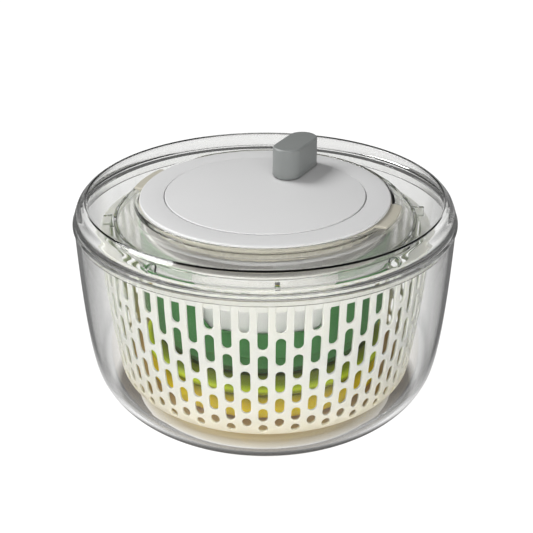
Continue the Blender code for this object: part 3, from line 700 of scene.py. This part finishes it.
def make_lid(mat):
    """The clear lid: a raised outer ring, a shallow cone inside it, and a collar."""
    low, high = node_box("lid_shell")
    flange_r, peak_z = high.x, high.z
    seat_r, skirt_r = flange_r - 4.1, 128.9
    base_z = 138.6
    floor_z, floor_low, floor_r, bore_r = 148.6, 146.8, 97.0, 84.0
    collar_in, collar_out, collar_z = 89.4, 91.6, 152.6
    collar_gap, collar_slope = 0.014, 0.4       # radians beyond a lug
    dome = spline([(134.1, 141.4), (132.9, 145.3), (131.0, 149.8), (128.4, 153.0),
                   (126.6, 154.4), (125.5, peak_z), (124.5, 154.65), (121.8, 154.0)], 6)
    hollow = spline([(121.9, 152.0), (124.4, 152.6), (125.5, 152.7), (127.8, 151.1), (129.9, 148.1),
                     (131.2, 144.8), (130.6, 141.6)], 6)
    profile = fillet([(seat_r, base_z), (flange_r, base_z, 0.3), (flange_r - 0.1, 139.5, 0.4),
                      dome[0]], closed=False)[:-1]
    profile += dome
    profile += fillet([dome[-1], (floor_r, floor_z, 6.0), (collar_out, floor_z, 0.4),
                       (collar_out, collar_z, 0.6), (collar_in, collar_z, 0.6),
                       (collar_in, floor_z, 0.5), (bore_r, floor_z, 0.4), (bore_r, floor_low, 0.4),
                       (floor_r, floor_low, 6.0), hollow[0]], closed=False)[1:-1]
    profile += hollow
    profile += fillet([hollow[-1], (skirt_r, 139.6, 1.0), (skirt_r, low.z, 0.8), (seat_r, low.z, 0.8),
                       (seat_r, base_z)], closed=False)[1:-1]

    def shape(radius, height, angle):
        if collar_in - 0.1 < radius < collar_out + 0.1 and height > floor_z + 0.01:
            share = (off_lug(angle) - LUG_HALF - collar_gap) / collar_slope
            height = floor_z + max(0.02, min(1.0, share)) * (height - floor_z)
        return radius, height

    lid = turned("lid_body", profile, mat, 360, shape=shape)
    place(lid, "lid", "lid_clear", "lid_shell")


def make_housing(mat):
    """The gear housing: a fluted pan, and a flange whose two lugs lock under the lid."""
    low, high = node_box("gear_housing")
    flange_z = high.z - 1.7
    flute_r, flange_r, lug_r, bore_r, inside_r = 80.6, 88.7, 96.0, 6.4, 78.5
    flutes, flute_depth, lug_side = 52, 1.5, 0.02
    floor_z = low.z + 2.0
    profile = fillet([
        (bore_r, low.z), (flute_r, low.z, 1.0), (flute_r, flange_z, 0.4),
        (flange_r, flange_z, 0.3), (flange_r, high.z, 0.5), (inside_r, high.z, 0.4),
        (inside_r, floor_z, 1.0), (bore_r, floor_z),
    ])

    def shape(radius, height, angle):
        if flute_r - 1.2 < radius < flute_r + 0.1 and height < flange_z - 0.1:
            radius -= flute_depth * (1.0 + cos(angle * flutes)) / 2
        if radius > flange_r - 0.9:
            share = (LUG_HALF - off_lug(angle)) / lug_side
            radius += (lug_r - flange_r) * max(0.0, min(1.0, share))
        return radius, height

    pan = turned("housing_pan", profile, mat, flutes * 12, shape=shape)
    place(pan, "lid", "housing_smoke", "gear_housing")
    post_low, post_z, idler_orbit_r = low.z + 1.5, 139.9, 33.75
    pin_r, post_r = 2.3, 5.0
    for k, side in enumerate((1, -1)):
        post = turned(f"idler_post_{k + 1}", fillet([
            (pin_r, post_low), (post_r, post_low), (post_r, post_z, 0.4), (pin_r, post_z, 0.3)]),
            mat, 48)
        post.location = (side * idler_orbit_r * MM, 0.0, 0.0)
        place(post, "lid", "housing_smoke")


def make_cover(mat):
    """The fixed grey ring round the dial, its lip below the dial, and its screw bosses."""
    low, high = node_box("cover_ring")
    outer_r = high.x
    seam_r, lip_r, wall_r = 71.2, 66.5, 77.6
    edge_z, lip_high, lip_low = 150.9, 148.7, 147.2
    profile = fillet([
        (outer_r, edge_z, 0.3), (outer_r, high.z, 0.8), (seam_r, high.z, 0.35),
        (seam_r, lip_high, 0.4), (lip_r, lip_high, 0.3), (lip_r, lip_low, 0.3),
        (wall_r, lip_low, 0.4), (wall_r, edge_z),
    ])
    place(turned("cover_ring_body", profile, mat), "lid", "cover_grey", "cover_ring")
    boss_orbit_r, bore_r, boss_r, boss_z = 74.5, 1.5, 2.9, 147.1
    for k in range(3):
        angle = radians(30.0 + 120.0 * k)
        boss = turned(f"cover_boss_{k + 1}", fillet([
            (bore_r, low.z), (boss_r, low.z, 0.3), (boss_r, boss_z), (bore_r, boss_z)]), mat, 40)
        boss.location = Vector((cos(angle), sin(angle), 0.0)) * boss_orbit_r * MM
        place(boss, "lid", "cover_grey")


def make_dial(mat):
    """The crank dial: a plain disc with soft edges."""
    low, high = node_box("dial")
    dial_r = high.x
    disc = turned("dial_disc", fillet([
        (0.0, high.z), (dial_r, high.z, 0.5), (dial_r, low.z, 0.3), (0.0, low.z)],
        closed=False), mat)
    place(disc, "crank", "cover_grey", "dial")


def make_drive_disc(band_mat, web_mat):
    """The drive disc: a faintly matt web, and a clear band with eight tabs that reach into the
    basket's rim."""
    low, high = node_box("drive_disc")
    band_in, band_out, tab_r, root_r = 104.8, 107.2, 114.5, 106.0
    web_low, web_high, band_low, tab_high = 132.2, 134.0, 131.9, 137.4
    hub_r, bore_r, edge = 9.0, 4.15, 0.4
    web_r, hub_z = band_in - 0.03, web_high + 0.2
    web = turned("drive_disc_web", fillet([
        (bore_r, web_low), (web_r, web_low), (web_r, web_high), (hub_r, web_high, 0.1),
        (hub_r, hub_z, 0.1), (bore_r, hub_z)]), web_mat)
    place(web, "drive", "drive_clear", "drive_disc")
    half = 1.5 / 110.0      # half a tab's width, in radians
    flank = 0.001           # a tab's side face, in radians
    spare = 0.016           # no other point of the band comes closer than this to a tab's middle

    def off_tab(angle):
        return min(apart(angle, tab) for tab in TAB_ANGLES)

    def shape(radius, height, angle):
        if off_tab(angle) > half + flank / 2 or radius < root_r - 0.1:
            return radius, height
        if height in (band_low, tab_high) and radius == band_out:
            return tab_r, low.z if height == band_low else height
        return radius, low.z if height == band_low else height

    angles = [2 * pi * k / STEPS for k in range(STEPS)]
    angles = [a for a in angles if off_tab(a) > spare]
    for tab in TAB_ANGLES:
        angles += [(tab + side * (half + extra)) % (2 * pi) for side in (-1, 1) for extra in (0, flank)]
    profile = [(band_in, band_low), (root_r, band_low), (band_out, band_low), (band_out, tab_high),
               (band_out, high.z - edge), (band_out - edge, high.z), (band_in + edge, high.z),
               (band_in, high.z - edge)]
    disc = turned("drive_disc_body", profile, band_mat, angles=sorted(angles), shape=shape)
    place(disc, "drive", "drive_clear", "drive_disc")


def stadium(length, width, inset=0.0, steps=24):
    """Points of a round-ended outline along X, inset all round."""
    end = (length - width) / 2
    radius = width / 2 - inset
    points = []
    for centre, first in ((end, -90), (-end, 90)):
        for i in range(steps + 1):
            angle = radians(first + 180 * i / steps)
            points.append((centre + radius * cos(angle), radius * sin(angle)))
    return points


def make_knob(mat):
    """The grip knob: an upright round-ended block with soft edges, lying along a radius."""
    low, high = node_box("knob")
    orbit_r, angle = 48.3, radians(62.9)
    length, width, soft, foot, draft = 47.0, 22.0, 1.6, 0.6, 0.15
    bore_r, bore_z = 5.0, 172.0
    foot_z, soft_z = low.z + foot, high.z - soft
    rows = [(low.z, foot), (foot_z, 0.0)]
    rows += [(foot_z + (soft_z - foot_z) * i / 4, draft * i / 4) for i in (1, 2, 3, 4)]
    for i in range(1, 9):
        bend = pi / 2 * i / 8
        rows.append((soft_z + soft * sin(bend), draft + soft * (1 - cos(bend))))
    outlines = [(z, stadium(length, width, inset)) for z, inset in rows]
    steps = len(outlines[0][1])
    turns = [2 * pi * (i + 0.5) / steps - pi / 2 for i in range(steps)]
    bore = [(bore_r * cos(a), bore_r * sin(a)) for a in turns]
    outlines = [(bore_z, bore), (low.z, bore)] + outlines
    placed = [(z, rotated([(orbit_r + x, y) for x, y in outline], angle)) for z, outline in outlines]
    place(stack("knob_grip", placed, mat, 50), "knob", "knob_grey", "knob")


# ---------------------------------------------------------------- stage

# The floor's painted warm shade and contact shadow at distances in metres from the spin axis, under the
# bowl's base.
FLOOR_PAINTED_SHADE = (
    (0.076, (0.33, 0.23, 0.07)), (0.083, (0.5, 0.4, 0.19)), (0.0875, (0.36, 0.29, 0.17)),
    (0.0905, (0.62, 0.57, 0.43)), (0.0955, (0.75, 0.71, 0.6)), (0.0985, (1.0, 1.0, 1.0)),
)
BASE_EDGE_R = 0.0975        # metres from the spin axis: the floor beyond it is open

# Each light's name, place, target, size in metres, power in watts, and whether gloss and clear
# plastic show it.
LIGHTS = (
    ("key", (-0.9, 0.45, 1.3), (0.0, 0.0, 0.1), (0.7, 0.7), 25.0, True),
    ("front_fill", (0.1, -1.05, 1.15), (0.0, 0.0, 0.1), (1.1, 0.8), 10.0, False),
    ("low_fill", (0.1, -1.3, 0.35), (0.0, 0.0, 0.06), (1.2, 0.4), 14.0, False),
    ("left_fill", (-1.25, -0.35, 0.4), (0.0, 0.0, 0.08), (0.9, 0.7), 10.0, False),
    ("right_fill", (1.25, -0.35, 0.4), (0.0, 0.0, 0.08), (0.9, 0.7), 3.0, False),
)


def flat_piece(name, corners, mat):
    """A single face of the stage."""
    mesh = bpy.data.meshes.new(name)
    mesh.from_pydata(corners, [], [(0, 1, 2, 3)])
    mesh.materials.append(mat)
    piece = bpy.data.objects.new(name, mesh)
    bpy.context.scene.collection.objects.link(piece)
    return piece


def floor_material():
    """A glowing white floor, with painted warm shade and a painted contact shadow under the bowl's base,
    and painted shade there to the right. Rays bent by clear plastic also see it dark beside the bowl,
    and a painted contact shadow just round it, and reflected rays see it dark in front as well, as in a
    small studio."""
    mat, tree, shader = new_material("floor_white")
    shader.inputs["Base Color"].default_value = (0.06, 0.06, 0.06, 1.0)
    shader.inputs["Roughness"].default_value = 0.9
    shader.inputs["Specular IOR Level"].default_value = 0.0
    point, axes = split_coords(tree)
    length = add_node(tree, "ShaderNodeVectorMath", operation="LENGTH")
    tree.links.new(point, length.inputs[0])
    away = length.outputs["Value"]
    # Painted warm shade and contact shadow under the bowl's base, as the floor's glow colour.
    tone = add_node(tree, "ShaderNodeValToRGB")
    set_ramp(tone, FLOOR_PAINTED_SHADE)
    tree.links.new(away, tone.inputs["Fac"])
    tree.links.new(tone.outputs["Color"], shader.inputs["Emission Color"])

    widening = maths(tree, "MULTIPLY", axes["Y"], -0.2)
    sideways = maths(tree, "ADD", maths(tree, "ABSOLUTE", axes["X"]), widening)
    beside = map_range(tree, sideways, 0.112, 0.16, 0.0, 0.88)
    in_front = map_range(tree, axes["Y"], -0.14, -0.26, 0.0, 0.924)
    # A painted contact shadow just round the base, seen only by rays bent by clear plastic.
    painted_contact_shadow = map_range(tree, away, 0.112, 0.122, 0.9, 0.0)
    # How much painted shade falls under the base, growing to the right.
    painted_shade_right = map_range(tree, axes["X"], -0.01, 0.06, 0.0, 0.4)
    path = add_node(tree, "ShaderNodeLightPath")
    glossy, through = path.outputs["Is Glossy Ray"], path.outputs["Is Transmission Ray"]
    beyond = maths(tree, "GREATER_THAN", away, BASE_EDGE_R)
    around = maths(tree, "MAXIMUM", beside, maths(tree, "MULTIPLY", beyond, painted_contact_shadow))
    dim = maths(tree, "MAXIMUM",
                maths(tree, "MULTIPLY", maths(tree, "MAXIMUM", glossy, through), around),
                maths(tree, "MULTIPLY", glossy, in_front))
    # The painted shade under the base, stronger to the right.
    under = maths(tree, "MULTIPLY", maths(tree, "SUBTRACT", 1.0, beyond), painted_shade_right)
    strength = maths(tree, "SUBTRACT", maths(tree, "SUBTRACT", 1.0, dim), under)
    tree.links.new(strength, shader.inputs["Emission Strength"])
    return mat


def make_floor():
    """The floor, just below the object's feet."""
    reach, height = 6.0, -0.0004
    corners = [(x * reach, y * reach, height) for x, y in ((-1, -1), (1, -1), (1, 1), (-1, 1))]
    flat_piece("floor", corners, floor_material())


def make_light(name, spot, target, size, power, mirrored):
    """A rectangular soft light that faces its target."""
    data = bpy.data.lights.new(name, "AREA")
    data.shape = "RECTANGLE"
    data.size, data.size_y = size
    data.energy = power
    light = bpy.data.objects.new(name, data)
    light.location = spot
    light.visible_glossy = light.visible_transmission = mirrored
    light.rotation_euler = (Vector(target) - Vector(spot)).to_track_quat("-Z", "Y").to_euler()
    bpy.context.scene.collection.objects.link(light)


def make_world():
    """A soft light overhead, white behind, grey in front, and dark at the two sides."""
    world = bpy.data.worlds.new("studio")
    bpy.context.scene.world = world
    world.use_nodes = True
    tree = world.node_tree
    axes = split_coords(tree, "Generated")[1]

    def band(value, *stops):
        return map_range(tree, value, *stops, ease="SMOOTHSTEP")

    above = band(axes["Z"], 0.1, 0.85, 0.6, 1.9)
    behind = band(axes["Y"], -0.1, 0.6, 0.0, 1.2)
    sides = band(maths(tree, "ABSOLUTE", axes["X"]), 0.5, 0.92, 1.0, 0.4)
    level = maths(tree, "MULTIPLY", sides, maths(tree, "ADD", above, behind))
    tree.links.new(level, tree.nodes["Background"].inputs["Strength"])


def make_card(name, x, tone):
    """A dark upright card beside the bowl, that only its clear walls show."""
    mat, _, shader = new_material(name)
    shader.inputs["Base Color"].default_value = (tone, tone, tone, 1.0)
    shader.inputs["Roughness"].default_value = 0.9
    front, back, top = -0.5, 0.7, 0.4
    corners = [(x, front, 0.0), (x, back, 0.0), (x, back, top), (x, front, top)]
    card = flat_piece(name, corners, mat)
    card.visible_camera = False
    card.visible_diffuse = False
    card.visible_shadow = False


def make_camera():
    """Looks down on the lid from the front at the angle of a product picture."""
    data = bpy.data.cameras.new("camera")
    data.lens = 66.64
    data.sensor_width = 36.0
    elevation, distance = radians(26.49), 0.7209
    target = Vector((0.0009, 0.0, 0.0951))
    camera = bpy.data.objects.new("camera", data)
    camera.location = target + distance * Vector((0.0, -cos(elevation), sin(elevation)))
    camera.rotation_euler = (pi / 2 - elevation, 0.0, 0.0)
    bpy.context.scene.collection.objects.link(camera)
    bpy.context.scene.camera = camera


# ---------------------------------------------------------------- the model

def finish_hidden_nodes():
    """Materials of the CAD nodes that stay: the steel and acetal pieces in the works."""
    steel = turned_steel("turned_steel")
    acetal = moulded_plastic("acetal", (0.85, 0.85, 0.82), 0.38)
    slots = {row["node"]: row["material_slot"] for row in frame["record"]["subparts"]}
    for name, node in frame["nodes"].items():
        if node.hide_render:
            continue
        mat = steel if slots[name] == "steel" else acetal
        node.data.materials.clear()
        node.data.materials.append(mat)


def basket_plastic():
    """White plastic that glows a little from inside, with painted warm shade low in the bowl: cream, then
    tan towards its base.
    """
    return paint_shading_by_height(
        moulded_plastic("basket_white", (0.56, 0.56, 0.525), 0.35, subsurface=1.0),
        # Painted warm shade by height: tan at the base, cream up to 70 mm.
        ((18.0, (0.95, 0.66, 0.22)), (21.8, (0.97, 0.72, 0.32)), (24.5, (0.98, 0.89, 0.7)),
         (40.0, (1.0, 0.97, 0.9)), (70.0, (1.0, 1.0, 1.0))))


def insert_plastics():
    """The plastics of the prep inserts, with painted shade and a painted highlight in bands that show
    through the slots.
    """
    return {
        # Yellow: painted shade, slight at the base and stronger towards the top under the lime tray's
        # overhang.
        "yellow": paint_shading_by_height(
            moulded_plastic("yellow_plastic", (1.0, 0.76, 0.006), 0.22, shine=0.15),
            ((21.9, (0.95, 0.85, 1.0)), (26.5, (1.0, 1.0, 1.0)), (30.0, (1.0, 0.98, 1.0)),
             (33.0, (0.85, 0.78, 1.0)), (35.5, (0.6, 0.6, 1.0)), (37.5, (0.42, 0.5, 1.0)))),
        # Lime: painted shade at the top under the green bowl's step and at the bottom, with a painted
        # highlight band near 46 mm.
        "lime": paint_shading_by_height(
            moulded_plastic("lime_plastic", (0.66, 0.78, 0.022), 0.22, shine=0.2),
            ((40.0, (0.24, 0.2, 0.4)), (43.8, (0.46, 0.45, 0.5)), (44.7, (0.5, 0.48, 0.5)),
             (45.3, (0.9, 0.88, 0.9)), (45.9, (1.0, 1.0, 1.0)), (46.8, (0.75, 0.78, 0.75)),
             (48.2, (0.36, 0.4, 0.5)), (50.6, (0.24, 0.25, 0.5)), (53.0, (0.14, 0.155, 0.45)))),
        # Green: painted shade on the foot below the step.
        "green": paint_shading_by_height(
            moulded_plastic("green_plastic", (0.075, 0.23, 0.075), 0.25, shine=0.3),
            ((53.3, (0.62, 0.42, 0.45)), (57.8, (0.64, 0.44, 0.46)), (59.0, (1.0, 1.0, 1.0)),
             (130.0, (1.0, 1.0, 1.0)))),
        "light_grey": moulded_plastic("light_grey_plastic", (0.84, 0.84, 0.82), 0.35),
    }


def make_object():
    """Every visible piece, from the bowl up."""
    clear_tint, clear_depth, disc_depth = (0.98, 0.98, 0.975), (0.4, 0.41, 0.4), (0.5, 0.5, 0.5)
    make_bowl(clear_plastic("bowl_clear", clear_tint, clear_depth))
    make_basket(basket_plastic())
    make_inserts(insert_plastics())
    make_lid(clear_plastic("lid_clear", clear_tint, clear_depth, wave=0.0003))
    make_housing(moulded_plastic("housing_smoke", (0.38, 0.36, 0.3), 0.3))
    grey = moulded_plastic("cover_grey", (0.485, 0.485, 0.485), 0.45)
    make_cover(grey)
    make_dial(grey)
    make_drive_disc(clear_plastic("drive_clear", (0.975, 0.98, 0.98), disc_depth),
                    clear_plastic("drive_web_clear", (0.99, 0.985, 0.97), roughness=0.1, clearness=0.78))
    make_knob(moulded_plastic("knob_grey", (0.16, 0.168, 0.164), 0.42))
    finish_hidden_nodes()


def make_stage():
    """The floor, the surroundings, the lights and the camera."""
    make_floor()
    make_world()
    make_card("left_card", -0.3, 0.2)
    make_card("right_card", 0.3, 0.12)
    for light in LIGHTS:
        make_light(*light)
    make_camera()
    bpy.context.scene.view_settings.view_transform = "Standard"


make_object()
make_stage()
bpy.context.view_layer.update()
